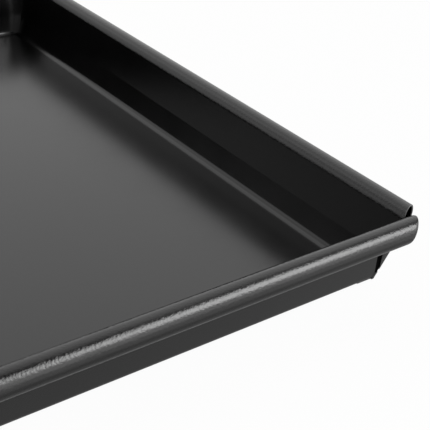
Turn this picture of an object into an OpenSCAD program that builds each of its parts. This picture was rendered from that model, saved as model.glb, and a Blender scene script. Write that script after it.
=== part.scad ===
// Shallow flat-bottomed tray folded from coated sheet steel.
// The rim is rolled outward into a hollow bead along each side, and every
// corner is closed by a folded ear laid against the long wall.
// Origin: centre of the footprint, on the surface the tray stands on.
// +X runs across the tray, +Y along it, +Z up. Millimetres.

/* [Tray] */
// Length over the rims, along Y
tray_length = 406; // [200:1:600]
// Width over the rims, along X
tray_width = 305; // [150:1:450]
// Height from the resting face to the top of the rim
tray_height = 40; // [32:0.5:70]
// Lean of the walls away from the vertical, degrees
wall_lean = 12.5; // [6:0.5:20]

/* [Sheet] */
// Thickness of the coated sheet
sheet = 0.8; // [0.5:0.1:1.2]
// Inside radius of the bend between the floor and each wall
floor_bend = 2.4; // [1.2:0.2:6]

/* [Rolled rim] */
// Outside diameter of the rolled bead
rim_diameter = 12; // [8:0.5:16]
// Gap between the free edge of the roll and the wall it curls back to
rim_gap = 0.6; // [0.3:0.1:1.5]
// How far the middle of each end bead runs past the foot of the long wall
end_bead_overrun = 3.3; // [1:0.1:5]
// How far the middle of each side bead runs past the foot of the end wall
side_bead_overrun = 3.8; // [1:0.1:5]
// Slant of the end beads, which are longer at the top, degrees
end_bead_slant = 22; // [0:1:30]
// Slant of the side beads, which are longer on the inner side, degrees
side_bead_slant = 24; // [0:1:30]

/* [Folded corner] */
// Length of the end wall that belongs to its folded corner
corner_flat = 7; // [4:0.5:15]
// Where the end wall's edge stands at its foot, past the corner of the footprint
slit_foot = 0.4; // [0:0.1:2]
// Lean of the slit between the end wall's edge and the ear, degrees
slit_lean = 11.5; // [4:0.5:20]
// Width of that slit
slit_width = 2.4; // [1:0.1:4]
// Depth of that slit, which the fold closes behind
slit_depth = 3; // [1.5:0.1:5]
// Where the slit starts, above the floor bend
slit_start = 3.4; // [1:0.5:6]
// Height over which the slit deepens at its foot and runs out at its top
slit_ramp = 4; // [2:0.5:8]
// How far an ear reaches along the long wall, at its top
ear_reach = 24; // [10:1:40]
// How far the front of the ear stands off the long wall, at its top
ear_stand = 4.4; // [3:0.1:8]
// How far the front of the ear stands out past the end wall
ear_proud = 0.9; // [0:0.1:2]
// Thickness of the doubled sheet in the ear
ear_fold = 2.2; // [1.8:0.1:3.2]
// Thickness of the ear at its foot
ear_tip = 0.9; // [0.6:0.1:1.6]
// Clearance between the top of an ear and the bead above it
ear_clearance = 0.5; // [0.3:0.1:2]

/* [Hidden] */

half_length = tray_length / 2;
half_width = tray_width / 2;
rim_r = rim_diameter / 2;
bore_r = rim_r - sheet;
rim_z = tray_height - rim_r;
bend_r = floor_bend + sheet;
lean = tan(wall_lean);

// Distances inward from the outermost edge of the tray to each feature of the section
rim_in = rim_r;
foot_in = rim_r + bore_r / cos(wall_lean) + rim_z * lean;
bend_in = foot_in + bend_r * (1 - sin(wall_lean)) / cos(wall_lean);

// Length of the flat of the wall, from the end of the floor bend to the start of the roll
wall_run = (bend_in - rim_in) * sin(wall_lean) + (rim_z - bend_r) * cos(wall_lean);

// How far up the flat the slit runs, to just under the bead
slit_top = wall_run - rim_r;

// Half sizes of the footprint at the outer face of the walls, and of the flat floor
foot_x = half_width - foot_in;
foot_y = half_length - foot_in;
floor_x = half_width - bend_in;
floor_y = half_length - bend_in;

// Thin slice that a folded corner grows from, and a span longer than any section
slice = 0.2;
reach = 2 * (foot_in + tray_height);

// Where the end wall's edge stands at a height, out from the tray's centre plane
function slit_at(z) = foot_x + slit_foot - z * tan(slit_lean);

steel = "#26272a";
bead_steel = "#2e2f32";
$fn = 96;

// Places the frame of the wall section: x square to the wall, y up along it
module at_wall() {
    translate([-bend_in, bend_r])
        rotate(-wall_lean)
            children();
}

// Section of one wall: the bend out of the floor and the leaning flat
module wall_section() {
    translate([-bend_in, bend_r])
        intersection() {
            difference() {
                circle(bend_r);
                circle(floor_bend);
            }
            polygon([
                [0, 0],
                [0, -2 * bend_r],
                [2 * bend_r, -2 * bend_r],
                [2 * bend_r * cos(wall_lean), -2 * bend_r * sin(wall_lean)]
            ]);
        }
    at_wall()
        translate([floor_bend, 0])
            square([sheet, wall_run]);
}

// Section of the rolled bead, from the top of the wall flat round to its free edge
module bead_section() {
    at_wall()
        difference() {
            translate([bend_r + bore_r, wall_run])
                difference() {
                    circle(rim_r);
                    circle(bore_r);
                }
            translate([bend_r + rim_gap - reach, wall_run - reach])
                square(reach);
        }
}

// Runs a section along the +X side of a tray that is half_across wide and half_along long
module run_side(half_across, half_along) {
    translate([half_across, 0, 0])
        rotate([90, 0, 0])
            linear_extrude(height = 2 * half_along, center = true)
                children();
}

// Everything between the two corner diagonals of the +X side, from one height to another
module between_diagonals(half_across, half_along, low, high) {
    translate([0, 0, low])
        linear_extrude(height = high - low)
            polygon([
                [half_across, -half_along],
                [half_across, half_along],
                [half_across - foot_in - reach / 4, half_along - foot_in - reach / 4],
                [half_across - foot_in - reach / 4, foot_in + reach / 4 - half_along]
            ]);
}

// Bend between the floor and the +X wall, up to the height of its radius
module bend(half_across, half_along) {
    intersection() {
        run_side(half_across, half_along) wall_section();
        between_diagonals(half_across, half_along, 0, bend_r);
    }
}

// Leaning flat of the +X wall, out to the corner diagonals
module wall(half_across, half_along) {
    intersection() {
        run_side(half_across, half_along) wall_section();
        between_diagonals(half_across, half_along, bend_r, tray_height);
    }
}

// Rolled bead on the +X side, with its two ends cut on a slant
module bead(half_across, half_along, overrun, plan_slant, rise_slant) {
    end_at = half_along - foot_in + overrun;
    difference() {
        run_side(half_across, half_along) bead_section();
        for (end = [-1, 1])
            translate([half_across - rim_in, end * end_at, rim_z])
                rotate([-end * rise_slant, 0, -end * plan_slant])
                    translate([0, end * reach, 0])
                        cube(2 * reach, center = true);
    }
}

// Leaning flat of the +Y wall, which stops where the folded corners start
module rear_panel() {
    intersection() {
        rotate(90) run_side(half_length, half_width) wall_section();
        upright(half_length)
            mirrored_band(slit_at(bend_r) - corner_flat, slit_at(tray_height) - corner_flat);
    }
}

// Stands an outline drawn in X and Z upright, from the centre plane out to the given Y
module upright(depth) {
    rotate([90, 0, 180])
        linear_extrude(height = depth)
            children();
}

// Outline as wide as low at the top of the floor bend and as high at the rim
module mirrored_band(low, high) {
    polygon([[-low, bend_r], [low, bend_r], [high, tray_height], [-high, tray_height]]);
}

// Leaning band beside the slit, from one offset to another
module slit_band(from, to) {
    polygon([
        [slit_at(bend_r) + from, bend_r],
        [slit_at(bend_r) + to, bend_r],
        [slit_at(tray_height) + to, tray_height],
        [slit_at(tray_height) + from, tray_height]
    ]);
}

// Part of the rear wall's section, or of a shape beside it, that lies in a leaning band
module rear_slice(from, to) {
    intersection() {
        rotate(90) run_side(half_length, half_width) children();
        mirror([1, 0, 0]) upright(half_length) slit_band(from, to);
    }
}

// Inner layer of the fold, set back from the wall and starting above the floor bend
module fold_section() {
    at_wall()
        translate([floor_bend - slit_depth, slit_start + slit_ramp])
            square([sheet, slit_top - slit_start - 2 * slit_ramp]);
}

// Section of the slit, from outside the wall to the fold's inner layer
module slit_section() {
    at_wall()
        polygon([
            [bend_r + reach, slit_start],
            [bend_r, slit_start],
            [bend_r - slit_depth, slit_start + slit_ramp],
            [bend_r - slit_depth, slit_top - slit_ramp],
            [bend_r, slit_top],
            [bend_r + reach, slit_top]
        ]);
}

// Flat of the long wall, lengthened at its foot and top to cut a corner cleanly
module long_wall_cut() {
    intersection() {
        run_side(half_width, half_length)
            at_wall()
                translate([floor_bend, -rim_r])
                    square([sheet, wall_run + 2 * rim_r]);
        between_diagonals(half_width, half_length, 0, tray_height);
    }
}

// Middle layer of the long wall at the corner diagonal, which the corner grows from
module long_wall_edge() {
    intersection() {
        run_side(half_width, half_length)
            at_wall()
                translate([floor_bend + sheet / 4, 0])
                    square([sheet / 2, wall_run]);
        translate([half_width, half_length, bend_r])
            rotate(45)
                translate([-reach, -slice, 0])
                    cube([2 * reach, 2 * slice, tray_height]);
    }
}

// Ball of the ear, its outer side standing off the long wall's outer face
module ear_ball(thickness, height, along, stand_off) {
    r = thickness / 2;
    translate([foot_x + height * lean + stand_off / cos(wall_lean) - r, along, height])
        sphere(r, $fn = 24);
}

// Ear: the spare sheet of the corner, doubled and folded back along the long wall
module ear() {
    top = tray_height - rim_diameter - ear_clearance - ear_fold / 2;
    foot_z = bend_r + slit_start;
    front_low = foot_y + foot_z * lean - ear_tip / 2;
    front_top = foot_y + top * lean - ear_fold / 2 + ear_proud;
    hull() {
        ear_ball(ear_tip, foot_z, front_low, ear_tip);
        ear_ball(ear_fold, top, front_top, ear_stand);
        ear_ball(ear_fold, top, front_top, ear_fold / 2);
        ear_ball(ear_fold, top, foot_y - ear_reach, ear_fold);
    }
    hull() {
        ear_ball(ear_tip, foot_z, front_low, ear_tip);
        ear_ball(ear_fold, top, front_top, ear_stand);
        translate([slit_at(top) + slit_width + ear_fold / 2, front_top, top])
            sphere(ear_fold / 2, $fn = 24);
    }
}

// Folded corner on the +X +Y side: the end of the rear wall, the fold and the ear
module corner() {
    difference() {
        union() {
            hull() {
                rear_slice(-corner_flat, slice - corner_flat) wall_section();
                rear_slice(-slice, 0) wall_section();
                rear_slice(-slice, 0) fold_section();
                rear_slice(slit_width, slit_width + slice) fold_section();
                long_wall_edge();
            }
            ear();
        }
        rear_slice(0, slit_width) slit_section();
        long_wall_cut();
    }
}

module floor_panel() {
    color(steel)
        translate([-floor_x, -floor_y, 0])
            cube([2 * floor_x, 2 * floor_y, sheet]);
}

module end_bend() {
    color(steel) rotate(90) bend(half_length, half_width);
}

module long_bend() {
    color(steel) bend(half_width, half_length);
}

module end_wall() {
    color(steel) rear_panel();
}

module long_wall() {
    color(steel) wall(half_width, half_length);
}

module end_rim() {
    color(bead_steel) rotate(90) bead(half_length, half_width, end_bead_overrun, 0, end_bead_slant);
}

module long_rim() {
    color(bead_steel) bead(half_width, half_length, side_bead_overrun, side_bead_slant, 0);
}

module folded_corner() {
    color(steel) corner();
}

floor_panel();
rotate(180) end_bend();  // front_bend
end_bend();  // rear_bend
rotate(180) long_bend();  // left_bend
long_bend();  // right_bend
rotate(180) end_wall();  // front_wall
end_wall();  // rear_wall
rotate(180) long_wall();  // left_wall
long_wall();  // right_wall
rotate(180) end_rim();  // front_rim
end_rim();  // rear_rim
rotate(180) long_rim();  // left_rim
long_rim();  // right_rim
mirror([0, 1, 0]) folded_corner();  // front_right_corner
rotate(180) folded_corner();  // front_left_corner
folded_corner();  // rear_right_corner
mirror([1, 0, 0]) folded_corner();  // rear_left_corner
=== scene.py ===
"""Dresses the rolled-rim sheet steel tray: sides, rolled beads, folded corners, satin coatings, studio."""
import math

import bmesh
import bpy
from mathutils import Matrix, Vector


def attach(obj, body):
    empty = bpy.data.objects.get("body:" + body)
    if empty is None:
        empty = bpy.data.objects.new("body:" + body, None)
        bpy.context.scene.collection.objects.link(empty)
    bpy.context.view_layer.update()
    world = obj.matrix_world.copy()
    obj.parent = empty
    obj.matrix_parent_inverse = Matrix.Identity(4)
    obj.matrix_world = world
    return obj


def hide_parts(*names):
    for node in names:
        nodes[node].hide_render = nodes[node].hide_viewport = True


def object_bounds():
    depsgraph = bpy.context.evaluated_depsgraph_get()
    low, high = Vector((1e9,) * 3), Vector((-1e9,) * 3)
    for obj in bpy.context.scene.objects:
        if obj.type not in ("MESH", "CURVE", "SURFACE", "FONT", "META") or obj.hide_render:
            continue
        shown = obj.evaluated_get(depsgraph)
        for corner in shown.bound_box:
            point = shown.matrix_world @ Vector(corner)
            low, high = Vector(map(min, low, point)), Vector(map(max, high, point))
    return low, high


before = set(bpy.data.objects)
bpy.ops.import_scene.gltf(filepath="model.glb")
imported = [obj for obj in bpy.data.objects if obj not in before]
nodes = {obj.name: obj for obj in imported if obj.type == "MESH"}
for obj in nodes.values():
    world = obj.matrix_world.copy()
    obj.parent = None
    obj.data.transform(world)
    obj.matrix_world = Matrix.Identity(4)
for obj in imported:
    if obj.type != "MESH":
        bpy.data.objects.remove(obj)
cad_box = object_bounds()
scene = bpy.context.scene

MM = 0.001

# Sizes of the tray, the same as in the solids, in metres
HALF_WIDTH = (cad_box[1].x - cad_box[0].x) / 2
HALF_LENGTH = (cad_box[1].y - cad_box[0].y) / 2
HEIGHT = cad_box[1].z
SHEET = 0.8 * MM
LEAN = math.radians(12.5)
RIM_R = 6 * MM
RIM_GAP = 0.6 * MM
END_OVERRUN, END_PLAN, END_RISE = 6.4 * MM, math.radians(33), math.radians(20)
SIDE_OVERRUN, SIDE_SLANT = 3.8 * MM, math.radians(24)
LIP_RUN, LIP_DROP = 2.2 * MM, 0.5 * MM
SLIT_FOOT, SLIT_LEAN = 0.9 * MM, math.radians(14)
LONG_WALL_SHORT = 2.5 * MM

# Fineness of the meshes: steps round a section, and rings along a bead
WALL_STEPS, TURN_STEPS, BEND_STEPS, BEAD_STEPS = 40, 24, 32, 150
BEAD_RINGS = 90
RING_CROWDING = 2.5

BORE_R = RIM_R - SHEET
RIM_Z = HEIGHT - RIM_R
FOOT_IN = RIM_R + BORE_R / math.cos(LEAN) + RIM_Z * math.tan(LEAN)

# Section of a side below the bead: its lean at the bead, its bend into the floor and, from the top down,
# the runs in which the sheet turns and the lean each one ends with
PLAIN_SIDE = (LEAN, 4 * MM, ())
CREASED_SIDE = (
    math.radians(8.5),
    4.6 * MM,
    (
        (0.6 * MM, math.radians(17.5)),
        (11 * MM, math.radians(20.5)),
    ),
)
CREASE_Z, BELOW_CREASE = 14.3 * MM, math.radians(19.2)


def side_line(top_lean, floor_bend, runs):
    """Middle of the sheet from the bead down to the floor, split where the bend into the floor starts."""
    x = -RIM_R * (1 + math.cos(top_lean))
    z = RIM_Z + RIM_R * math.sin(top_lean)
    lean, wall, bend = top_lean, [], []

    def lay(line, length, end_lean, steps):
        nonlocal x, z, lean
        start = lean
        for i in range(steps + 1):
            a = start + (end_lean - start) * i / steps
            if i:
                half = (lean + a) / 2
                x -= length / steps * math.sin(half)
                z -= length / steps * math.cos(half)
            elif line:
                continue
            lean = a
            line.append(Vector((x + SHEET / 2 * math.cos(a), z - SHEET / 2 * math.sin(a))))

    def drop(length, a, b):
        return length * (math.cos(a) if abs(b - a) < 1e-6 else (math.sin(b) - math.sin(a)) / (b - a))

    below, a = 0.0, top_lean
    for length, b in runs:
        below += drop(length, a, b)
        a = b
    below += floor_bend * (1 - math.sin(a))
    lay(wall, (z - SHEET - below) / math.cos(top_lean), top_lean, WALL_STEPS)
    for length, b in runs:
        lay(wall, length, b, TURN_STEPS)
    lay(bend, floor_bend * (math.pi / 2 - lean), math.pi / 2, BEND_STEPS)
    return wall, bend


def bead_line(top_lean, steps=BEAD_STEPS):
    """Middle of the sheet round the rolled bead, from the top of the wall over to its free edge."""
    r = RIM_R - SHEET / 2
    turn = 2 * math.pi - math.acos((BORE_R - RIM_GAP) / RIM_R)
    line = []
    for i in range(steps + 1):
        a = math.pi - top_lean - turn * i / steps
        line.append(Vector((-RIM_R + r * math.cos(a), RIM_Z + r * math.sin(a))))
    return line


def run_tree():
    """Geometry Nodes: sweeps a section line along a side, with both ends cut on a slant."""
    tree = bpy.data.node_groups.new("Folded run", "GeometryNodeTree")
    io = tree.interface
    io.new_socket(name="Section", in_out="INPUT", socket_type="NodeSocketGeometry")
    for name, value in (
        ("Half run", 0.1),
        ("Plan slant", 0.0),
        ("Rise slant", 0.0),
        ("Across", 0.0),
        ("Up", 0.0),
        ("Lip run", 1.0),
        ("Lip drop", 0.0),
    ):
        io.new_socket(name=name, in_out="INPUT", socket_type="NodeSocketFloat").default_value = value
    io.new_socket(name="Rings", in_out="INPUT", socket_type="NodeSocketInt").default_value = 2
    io.new_socket(name="Finish", in_out="INPUT", socket_type="NodeSocketMaterial")
    io.new_socket(name="Run", in_out="OUTPUT", socket_type="NodeSocketGeometry")
    new, link = tree.nodes.new, tree.links.new
    entry, out = new("NodeGroupInput"), new("NodeGroupOutput")

    def number(op, a, b):
        node = new("ShaderNodeMath")
        node.operation = op
        for socket, value in zip(node.inputs, (a, b)):
            if isinstance(value, (int, float)):
                socket.default_value = value
            else:
                link(value, socket)
        return node.outputs[0]

    def section_value(name):
        node = new("GeometryNodeInputNamedAttribute")
        node.data_type = "FLOAT"
        node.inputs["Name"].default_value = name
        return node.outputs["Attribute"]

    across, up = section_value("across"), section_value("up")
    out_from = number("SUBTRACT", across, entry.outputs["Across"])
    up_from = number("SUBTRACT", up, entry.outputs["Up"])
    to_curve = new("GeometryNodeMeshToCurve")
    link(entry.outputs["Section"], to_curve.inputs[0])
    path = new("GeometryNodeCurvePrimitiveLine")
    path.inputs["Start"].default_value = (0, -1, 0)
    path.inputs["End"].default_value = (0, 1, 0)
    rings = new("GeometryNodeResampleCurve")
    link(path.outputs[0], rings.inputs["Curve"])
    link(entry.outputs["Rings"], rings.inputs["Count"])
    sweep = new("GeometryNodeCurveToMesh")
    link(rings.outputs[0], sweep.inputs["Curve"])
    link(to_curve.outputs[0], sweep.inputs["Profile Curve"])
    here, parts = new("GeometryNodeInputPosition"), new("ShaderNodeSeparateXYZ")
    link(here.outputs[0], parts.inputs[0])
    plan = number("MULTIPLY", out_from, entry.outputs["Plan slant"])
    rise = number("MULTIPLY", up_from, entry.outputs["Rise slant"])
    end = number("ADD", entry.outputs["Half run"], number("ADD", plan, rise))
    # Rings crowd towards both ends, where the lip turns in on a quarter ellipse
    side_of = number("SIGN", parts.outputs[1], 0.0)
    from_end = number("SUBTRACT", 1.0, number("ABSOLUTE", parts.outputs[1], 0.0))
    short = number("POWER", from_end, RING_CROWDING)
    along = number("MULTIPLY", side_of, number("MULTIPLY", end, number("SUBTRACT", 1.0, short)))
    near = number("SUBTRACT", 1.0, number("DIVIDE", number("MULTIPLY", end, short), entry.outputs["Lip run"]))
    near = number("MAXIMUM", near, 0.0)
    straight = number("SQRT", number("SUBTRACT", 1.0, number("MULTIPLY", near, near)), 0.0)
    turned = number("SUBTRACT", 1.0, straight)
    size = number("SUBTRACT", 1.0, number("MULTIPLY", entry.outputs["Lip drop"], turned))
    place = new("ShaderNodeCombineXYZ")
    link(number("ADD", entry.outputs["Across"], number("MULTIPLY", out_from, size)), place.inputs[0])
    link(along, place.inputs[1])
    link(number("ADD", entry.outputs["Up"], number("MULTIPLY", up_from, size)), place.inputs[2])
    moved = new("GeometryNodeSetPosition")
    link(sweep.outputs[0], moved.inputs["Geometry"])
    link(place.outputs[0], moved.inputs["Position"])
    real, finish = new("GeometryNodeRealizeInstances"), new("GeometryNodeSetMaterial")
    link(moved.outputs[0], real.inputs[0])
    link(real.outputs[0], finish.inputs["Geometry"])
    link(entry.outputs["Finish"], finish.inputs["Material"])
    link(finish.outputs[0], out.inputs[0])
    return tree


RUN = run_tree()


def set_input(modifier, name, value):
    for item in modifier.node_group.interface.items_tree:
        if item.item_type == "SOCKET" and item.in_out == "INPUT" and item.name == name:
            modifier[item.identifier] = value


def plain_mesh(obj, name):
    """The evaluated object as a plain mesh object at the origin."""
    graph = bpy.context.evaluated_depsgraph_get()
    mesh = bpy.data.meshes.new_from_object(obj.evaluated_get(graph), depsgraph=graph)
    mesh.name = name
    bpy.data.objects.remove(obj, do_unlink=True)
    done = bpy.data.objects.new(name, mesh)
    scene.collection.objects.link(done)
    return done


def smooth(obj, degrees=32):
    for face in obj.data.polygons:
        face.use_smooth = True
    obj.data.set_sharp_from_angle(angle=math.radians(degrees))


def swept(name, line, edge_at, half_run, plan, rise, across, up, finish, rings=2, lip=(1.0, 0.0), turn=0.0):
    """Sheet swept along the side whose outermost edge is edge_at from the centre, turned to its place."""
    section = bpy.data.meshes.new(name)
    points = [Vector((edge_at + p.x, p.y, 0)) for p in line]
    section.from_pydata(points, [(i, i + 1) for i in range(len(points) - 1)], [])
    for key, axis in (("across", 0), ("up", 1)):
        values = section.attributes.new(key, "FLOAT", "POINT")
        values.data.foreach_set("value", [p[axis] for p in points])
    obj = bpy.data.objects.new(name, section)
    scene.collection.objects.link(obj)
    run = obj.modifiers.new("Run", "NODES")
    run.node_group = RUN
    for key, value in (
        ("Half run", half_run),
        ("Plan slant", plan),
        ("Rise slant", rise),
        ("Across", across),
        ("Up", up),
        ("Lip run", lip[0]),
        ("Lip drop", lip[1]),
        ("Rings", rings),
        ("Finish", finish),
    ):
        set_input(run, key, value)
    obj = plain_mesh(obj, name)
    thick = obj.modifiers.new("Sheet", "SOLIDIFY")
    thick.thickness = SHEET
    thick.offset = 0
    obj = plain_mesh(obj, name)
    obj.data.transform(Matrix.Rotation(turn, 4, "Z"))
    solid = bmesh.new()
    solid.from_mesh(obj.data)
    bmesh.ops.remove_doubles(solid, verts=solid.verts, dist=1e-6)
    bmesh.ops.recalc_face_normals(solid, faces=solid.faces)
    solid.to_mesh(obj.data)
    solid.free()
    for key in ("across", "up"):
        if key in obj.data.attributes:
            obj.data.attributes.remove(obj.data.attributes[key])
    smooth(obj)
    return obj


def shader(name):
    material = bpy.data.materials.new(name)
    material.use_nodes = True
    return material, material.node_tree, material.node_tree.nodes["Principled BSDF"]


def coating(name, dark, light, roughness, grain, depth, mottle=34.0):
    """Satin baked coating: even colour with a faint mottle, fine grain in the gloss and in the surface."""
    material, tree, face = shader(name)
    new, link = tree.nodes.new, tree.links.new
    place = new("ShaderNodeTexCoord")

    def noise(scale, detail):
        node = new("ShaderNodeTexNoise")
        node.inputs["Scale"].default_value = scale
        node.inputs["Detail"].default_value = detail
        node.inputs["Roughness"].default_value = 0.55
        link(place.outputs["Object"], node.inputs["Vector"])
        return node.outputs["Fac"]

    broad, fine = noise(mottle, 3.0), noise(grain, 2.0)
    tone = new("ShaderNodeValToRGB")
    tone.color_ramp.elements[0].position, tone.color_ramp.elements[1].position = 0.32, 0.70
    tone.color_ramp.elements[0].color = (*[dark] * 3, 1)
    tone.color_ramp.elements[1].color = (*[light] * 3, 1)
    link(broad, tone.inputs["Fac"])
    link(tone.outputs["Color"], face.inputs["Base Color"])
    gloss = new("ShaderNodeMapRange")
    gloss.inputs["From Min"].default_value, gloss.inputs["From Max"].default_value = 0.25, 0.75
    gloss.inputs["To Min"].default_value = roughness - 0.02
    gloss.inputs["To Max"].default_value = roughness + 0.02
    link(broad, gloss.inputs["Value"])
    link(gloss.outputs[0], face.inputs["Roughness"])
    bump = new("ShaderNodeBump")
    bump.inputs["Strength"].default_value = 0.5
    bump.inputs["Distance"].default_value = depth
    link(fine, bump.inputs["Height"])
    link(bump.outputs["Normal"], face.inputs["Normal"])
    face.inputs["IOR"].default_value = 1.65
    return material


floor_satin = coating("floor_satin", 0.0015, 0.003, 0.21, 2600.0, 0.02 * MM)
wall_satin = coating("wall_satin", 0.0015, 0.003, 0.22, 2400.0, 0.02 * MM)
rim_grain = coating("rim_grain", 0.002, 0.004, 0.15, 1000.0, 0.25 * MM)

# Near-black finish with almost no reflection, for the pleat in the slit: painted shade standing in for the
# shadow deep inside the slit
fold_shadow = coating("fold_shadow", 0.0008, 0.0015, 0.70, 2400.0, 0.02 * MM)
fold_shadow.node_tree.nodes["Principled BSDF"].inputs["IOR"].default_value = 1.1


def coat(node, material):
    mesh = nodes[node].data
    if mesh.materials:
        for i in range(len(mesh.materials)):
            mesh.materials[i] = material
    else:
        mesh.materials.append(material)


coat("floor_panel", floor_satin)

QUARTER = math.pi / 2
SIDES = (
    ("right", HALF_WIDTH, HALF_LENGTH, 0.0, True),
    ("rear", HALF_LENGTH, HALF_WIDTH, QUARTER, False),
    ("left", HALF_WIDTH, HALF_LENGTH, 2 * QUARTER, True),
    ("front", HALF_LENGTH, HALF_WIDTH, 3 * QUARTER, False),
)

for side, across, along, turn, long_side in SIDES:
    foot = along - FOOT_IN
    corner_at = (across, 0.0)
    section = CREASED_SIDE if long_side else PLAIN_SIDE
    wall_line, bend_line = side_line(*section)
    bend = swept(side + "_bend_sheet", bend_line, across, along, 1, 0, *corner_at, wall_satin, turn=turn)
    if long_side:
        wall = swept(
            side + "_wall_sheet", wall_line, across, along - LONG_WALL_SHORT, 1, 0,
            *corner_at, wall_satin, turn=turn,
        )
        overrun, plan, rise, lip = SIDE_OVERRUN, -math.tan(SIDE_SLANT), 0.0, (1.0, 0.0)
    else:
        wall = swept(
            side + "_wall_sheet", wall_line, across, foot + SLIT_FOOT, 0, -math.tan(SLIT_LEAN),
            0.0, 0.0, wall_satin, turn=turn,
        )
        overrun, plan, rise = END_OVERRUN, -math.tan(END_PLAN), math.tan(END_RISE)
        lip = (LIP_RUN, LIP_DROP / RIM_R)
    bead = swept(
        side + "_bead", bead_line(section[0]), across, foot + overrun, plan, rise,
        across - RIM_R, RIM_Z, rim_grain, rings=BEAD_RINGS, lip=lip, turn=turn,
    )
    for piece, node, slot in (
        (bend, "_bend", "wall_coating"),
        (wall, "_wall", "wall_coating"),
        (bead, "_rim", "rim_coating"),
    ):
        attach(piece, "root")
        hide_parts(side + node)

# Inside each corner the end wall turns a little as it comes up to the long wall, in a cove
COVE_TOP, COVE_FOOT, COVE_TURN = 16.5 * MM, 9 * MM, math.radians(27)
COVE_LOW, COVE_FADE, COVE_HIGH = 1.2 * MM, RIM_Z - 6 * MM, RIM_Z + 1.4 * MM
COVE_SINK, TOP_SINK = 0.3 * MM, 0.9 * MM
COVE_ROWS, COVE_COLUMNS, FLATTENING = 24, 14, 0.95


def wall_face(z):
    """How far in from the tray's edge the inner face of a wall stands at height z."""
    return RIM_R * (1 + math.cos(LEAN)) + (RIM_Z + RIM_R * math.sin(LEAN) - z) * math.tan(LEAN)


def long_wall_face(z):
    """The same for a long wall, which is steeper above its crease and flatter below it."""
    top = CREASED_SIDE[0]
    upper = RIM_R * (1 + math.cos(top)) + (RIM_Z + RIM_R * math.sin(top) - max(z, CREASE_Z)) * math.tan(top)
    return upper + max(CREASE_Z - z, 0.0) * math.tan(BELOW_CREASE)


def corner_cove(name, side_x, side_y, rows=COVE_ROWS, columns=COVE_COLUMNS):
    """Closed wedge whose face turns from the end wall round into the long wall."""
    solid = bmesh.new()
    rings = []
    for i in range(rows + 1):
        z = COVE_LOW + (COVE_HIGH - COVE_LOW) * i / rows
        face, long_face = wall_face(z), long_wall_face(z)
        width = COVE_FOOT + (COVE_TOP - COVE_FOOT) * i / rows
        fade = max(z - COVE_FADE, 0.0) / (COVE_HIGH - COVE_FADE)
        turn = COVE_TURN * (1 - FLATTENING * fade * fade)
        r = width / math.sin(turn)
        sink = COVE_SINK + (TOP_SINK - COVE_SINK) * fade * fade
        ring = [(long_face - sink, face - sink), (long_face + width, face - sink)]
        for j in range(columns + 1):
            a = turn * j / columns
            ring.append((long_face + width - r * math.sin(a), face + r * (1 - math.cos(a))))
        ring.append((long_face - sink, ring[-1][1]))
        places = [(side_x * (HALF_WIDTH - u), side_y * (HALF_LENGTH - v), z) for u, v in ring]
        rings.append([solid.verts.new(place) for place in places])
    count = len(rings[0])
    for low, high in zip(rings, rings[1:]):
        for j in range(count):
            k = (j + 1) % count
            solid.faces.new((low[j], low[k], high[k], high[j]))
    solid.faces.new(rings[0])
    solid.faces.new(rings[-1])
    bmesh.ops.recalc_face_normals(solid, faces=solid.faces)
    mesh = bpy.data.meshes.new(name)
    solid.to_mesh(mesh)
    solid.free()
    mesh.materials.append(wall_satin)
    cove = bpy.data.objects.new(name, mesh)
    scene.collection.objects.link(cove)
    smooth(cove)
    return cove


# Outside each corner a pleat shows in the slit, finished near-black as painted shade for the deep slit, with
# the ear folded back beyond it
EAR_TOP, EAR_TIP, EAR_REACH = RIM_Z - RIM_R - 0.5 * MM, 6.8 * MM, 24 * MM
EAR_PROUD, EAR_RECESS, EAR_FOLD = 0.6 * MM, 0.2 * MM, 1.0 * MM
EAR_FROM_SLIT, EAR_FLARE, TIP_PROUD = 3.2 * MM, 0.4 * MM, 0.1 * MM
FACE_BACK, SIDE_BACK, EDGE_ROUND = 0.1 * MM, 0.3 * MM, 0.12 * MM
FOLD_FROM_FOOT, FOLD_SLOPE = 0.5 * MM, 0.256
SLIT_END, SLIT_LAP = 5.2 * MM, 0.6 * MM
FOOT_LOW, FOOT_RUN, FOOT_PROUD = 0.9 * MM, 1.4 * MM, 0.05 * MM
PLEAT_DEPTH, PLEAT_FOLD = 0.35 * MM, 0.5 * MM
PLEAT_LAP, PLEAT_REACH, PLEAT_EDGE, PLEAT_OVER_TIP = 1 * MM, 4 * MM, 0.1 * MM, 1.5 * MM


def slit_edge(z):
    """How far out from the centre plane the end wall stops at height z."""
    return HALF_WIDTH - FOOT_IN + SLIT_FOOT - z * math.tan(SLIT_LEAN)


def fold_edge(z):
    """How far out from the centre plane the ear's outer fold stands at height z."""
    return HALF_WIDTH - FOOT_IN + FOLD_FROM_FOOT + FOLD_SLOPE * z


def wall_outer(z):
    """How far in from the tray's edge the outer face of a wall stands at height z."""
    return wall_face(z) - SHEET / math.cos(LEAN)


def on_end_wall(x, z, proud):
    """Point over the outer face of an end wall, as distances from the two centre planes and the height."""
    return x, HALF_LENGTH - wall_outer(z) + proud, z


def folded_piece(name, side_x, side_y, sheets, finish):
    """Closed plates, each given by its outer outline and the same outline on its inner side."""
    solid = bmesh.new()
    for front, back in sheets:
        outer = [solid.verts.new((side_x * x, side_y * y, z)) for x, y, z in front]
        inner = [solid.verts.new((side_x * x, side_y * y, z)) for x, y, z in back]
        solid.faces.new(outer)
        solid.faces.new(inner)
        for j in range(len(outer)):
            k = (j + 1) % len(outer)
            solid.faces.new((outer[j], outer[k], inner[k], inner[j]))
    bmesh.ops.recalc_face_normals(solid, faces=solid.faces)
    mesh = bpy.data.meshes.new(name)
    solid.to_mesh(mesh)
    solid.free()
    mesh.materials.append(finish)
    piece = bpy.data.objects.new(name, mesh)
    scene.collection.objects.link(piece)
    rounded = piece.modifiers.new("Edges", "BEVEL")
    rounded.width = EDGE_ROUND
    rounded.segments = 2
    piece = plain_mesh(piece, name)
    smooth(piece)
    return piece


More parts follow.
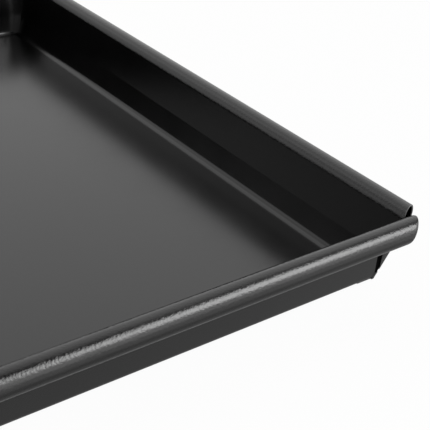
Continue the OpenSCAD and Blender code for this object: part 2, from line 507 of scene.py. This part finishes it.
def ear_sheets():
    """The ear: its face beside the slit, its side back along the long wall, and the foot of the slit."""
    face = [
        on_end_wall(slit_edge(EAR_TOP) + EAR_FROM_SLIT, EAR_TOP, EAR_PROUD),
        on_end_wall(fold_edge(EAR_TOP) + EAR_FLARE, EAR_TOP, -EAR_RECESS),
        on_end_wall(fold_edge(EAR_TIP), EAR_TIP, TIP_PROUD),
    ]
    face_back = [(x - FACE_BACK, y - SHEET, z) for x, y, z in face]
    rear_y = HALF_LENGTH - EAR_REACH - wall_outer(EAR_TOP)
    wall_x = HALF_WIDTH - long_wall_face(EAR_TOP) + SHEET
    side = [face[1], (wall_x + EAR_FOLD, rear_y, EAR_TOP), face[2]]
    side_back = [(x - EAR_FOLD, y - SIDE_BACK, z) for x, y, z in side]
    foot_left = slit_edge(FOOT_LOW) - FOOT_RUN
    foot = [
        on_end_wall(slit_edge(SLIT_END) - SLIT_LAP, SLIT_END, FOOT_PROUD),
        on_end_wall(fold_edge(SLIT_END), SLIT_END, FOOT_PROUD),
        on_end_wall(fold_edge(FOOT_LOW), FOOT_LOW, FOOT_PROUD),
        on_end_wall(foot_left, FOOT_LOW, FOOT_PROUD),
    ]
    foot_back = [(x, y - SHEET, z) for x, y, z in foot]
    return (face, face_back), (side, side_back), (foot, foot_back)


def pleat_sheets():
    """The pleat behind the slit, which laps under the end wall on one side and the ear on the other; its
    near-black finish is painted shade for the deep slit.
    """
    low, middle, high = SLIT_END - SLIT_LAP, EAR_TIP + PLEAT_OVER_TIP, EAR_TOP
    front = [
        on_end_wall(slit_edge(high) - PLEAT_LAP, high, -PLEAT_DEPTH),
        on_end_wall(slit_edge(high) + PLEAT_REACH, high, -PLEAT_DEPTH),
        on_end_wall(fold_edge(middle) - PLEAT_EDGE, middle, -PLEAT_DEPTH),
        on_end_wall(fold_edge(low) + PLEAT_EDGE, low, -PLEAT_DEPTH),
        on_end_wall(slit_edge(low) - PLEAT_LAP, low, -PLEAT_DEPTH),
    ]
    return ((front, [(x, y - PLEAT_FOLD, z) for x, y, z in front]),)


for end, side_y in (("front", -1), ("rear", 1)):
    for side, side_x in (("left", -1), ("right", 1)):
        corner = end + "_" + side
        cove = corner_cove(corner + "_cove", side_x, side_y)
        ear = folded_piece(corner + "_ear", side_x, side_y, ear_sheets(), wall_satin)
        # The pleat wears the near-black finish: painted shade for the deep slit
        pleat = folded_piece(corner + "_pleat", side_x, side_y, pleat_sheets(), fold_shadow)
        for piece in (cove, ear, pleat):
            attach(piece, "root")
            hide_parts(corner + "_corner")

# Studio: a pale floor that shows white to the camera and keeps the tray's shadow
REACH = 6
SHADOW_SHARE = 0.04
# Where and how far the table's glow in reflections rises from dim near the tray to bright: painted shade for
# the tray's shadow on the table
TABLE_NEAR, TABLE_FAR, TABLE_DIM, TABLE_BRIGHT = 20 * MM, 80 * MM, 0.35, 0.8
floor_mesh = bpy.data.meshes.new("studio_floor")
floor_corners = [(-REACH, -REACH, 0), (REACH, -REACH, 0), (REACH, REACH, 0), (-REACH, REACH, 0)]
floor_mesh.from_pydata(floor_corners, [], [(0, 1, 2, 3)])
studio_floor = bpy.data.objects.new("studio_floor", floor_mesh)
scene.collection.objects.link(studio_floor)
pale, pale_tree, pale_face = shader("studio_floor")
pale_tree.nodes.remove(pale_face)
new, link = pale_tree.nodes.new, pale_tree.links.new
rays, lit, glow, table = (
    new("ShaderNodeLightPath"),
    new("ShaderNodeBsdfDiffuse"),
    new("ShaderNodeEmission"),
    new("ShaderNodeEmission"),
)
lit.inputs["Color"].default_value = (0.8, 0.8, 0.8, 1)
glow.inputs["Strength"].default_value = 1.0
# Seen in reflections, the table glows dimmer close to the tray than out in the open: painted shade for the
# tray's shadow on the table
where, away = new("ShaderNodeTexCoord").outputs["Object"], (HALF_WIDTH, HALF_LENGTH, 0)
for op, other in (("ABSOLUTE", None), ("SUBTRACT", away), ("MAXIMUM", (0, 0, 0)), ("LENGTH", None)):
    step = new("ShaderNodeVectorMath")
    step.operation = op
    link(where, step.inputs[0])
    if other:
        step.inputs[1].default_value = other
    where = step.outputs["Value" if op == "LENGTH" else "Vector"]
table_glow = new("ShaderNodeMapRange")
table_glow.interpolation_type = "SMOOTHSTEP"
table_glow.inputs["From Min"].default_value = TABLE_NEAR
table_glow.inputs["From Max"].default_value = TABLE_FAR
table_glow.inputs["To Min"].default_value = TABLE_DIM
table_glow.inputs["To Max"].default_value = TABLE_BRIGHT
link(where, table_glow.inputs["Value"])
link(table_glow.outputs[0], table.inputs["Strength"])
seen, which, bounced = new("ShaderNodeMixShader"), new("ShaderNodeMixShader"), new("ShaderNodeMixShader")
seen.inputs["Fac"].default_value = SHADOW_SHARE
link(glow.outputs[0], seen.inputs[1])
link(lit.outputs[0], seen.inputs[2])
link(rays.outputs["Is Camera Ray"], which.inputs["Fac"])
link(rays.outputs["Is Glossy Ray"], bounced.inputs["Fac"])
link(lit.outputs[0], bounced.inputs[1])
link(table.outputs[0], bounced.inputs[2])
link(bounced.outputs[0], which.inputs[1])
link(seen.outputs[0], which.inputs[2])
link(which.outputs[0], pale_tree.nodes["Material Output"].inputs["Surface"])
floor_mesh.materials.append(pale)

# World: white to the camera, and a soft room for light and reflections
world = bpy.data.worlds.new("studio")
scene.world = world
world.use_nodes = True
room = world.node_tree
new, link = room.nodes.new, room.links.new
backdrop = room.nodes["Background"]
backdrop.inputs["Color"].default_value = (1, 1, 1, 1)
way = new("ShaderNodeTexCoord")


def calc(op, *values):
    node = new("ShaderNodeMath")
    node.operation = op
    for socket, value in zip(node.inputs, values):
        if isinstance(value, (int, float)):
            socket.default_value = value
        else:
            link(value, socket)
    return node.outputs[0]


def glow_towards(azimuth, elevation, inner, outer, level):
    """Soft round glow of the room: full within inner degrees of its middle, gone beyond outer degrees."""
    a, e = math.radians(azimuth), math.radians(elevation)
    dot = new("ShaderNodeVectorMath")
    dot.operation = "DOT_PRODUCT"
    dot.inputs[1].default_value = (math.cos(a) * math.cos(e), math.sin(a) * math.cos(e), math.sin(e))
    link(way.outputs["Generated"], dot.inputs[0])
    fade = new("ShaderNodeMapRange")
    fade.interpolation_type = "SMOOTHSTEP"
    fade.inputs["From Min"].default_value = math.cos(math.radians(outer))
    fade.inputs["From Max"].default_value = math.cos(math.radians(inner))
    fade.inputs["To Max"].default_value = level
    link(dot.outputs["Value"], fade.inputs["Value"])
    return fade.outputs[0]


# All but the fill stand where a face of the tray mirrors them to the camera
bead_lamp = glow_towards(-43, 42, 0, 25, 5.0)  # in the face of the front bead that leans 45 degrees
low_window = glow_towards(-45, 5, 40, 45, 1.5)  # in the front bead's face, lower down
ceiling = glow_towards(60, 40, 25, 60, 0.8)  # in the tops of the beads and the floor
floor_lamp = glow_towards(50, 30, 20, 35, 0.2)  # in the level floor
wall_lamp = glow_towards(150, 25, 30, 50, 0.5)  # in the right wall, by way of the floor
upper_wall_lamp = glow_towards(135, 20, 5, 15, 0.3)  # in the upper part of that wall, the same way
front_fill = glow_towards(-95, 35, 10, 30, 0.6)
light = 0.0
for lamp in (bead_lamp, low_window, ceiling, floor_lamp, wall_lamp, upper_wall_lamp, front_fill):
    light = calc("ADD", light, lamp)
seen_by_camera = new("ShaderNodeLightPath")
strength = new("ShaderNodeMix")
link(seen_by_camera.outputs["Is Camera Ray"], strength.inputs["Factor"])
link(light, strength.inputs["A"])
strength.inputs["B"].default_value = 1.0
link(strength.outputs["Result"], backdrop.inputs["Strength"])

# Camera: low over the tray's front left, turned a little about its own axis
CAMERA_AT, CAMERA_LOOK = (-0.1864, -0.4546, 0.2712), Vector((0.5431, 0.6696, -0.5066))
CAMERA_TURN, LENS, SENSOR = math.radians(4.73), 85.2, 36
camera = bpy.data.objects.new("camera", bpy.data.cameras.new("camera"))
scene.collection.objects.link(camera)
scene.camera = camera
camera.data.lens, camera.data.sensor_width = LENS, SENSOR
camera.location = CAMERA_AT
upright = CAMERA_LOOK.to_track_quat("-Z", "Y")
camera.rotation_mode = "QUATERNION"
camera.rotation_quaternion = upright @ Matrix.Rotation(CAMERA_TURN, 3, "Z").to_quaternion()
camera.data.clip_start = 0.02
scene.view_settings.view_transform = "Standard"
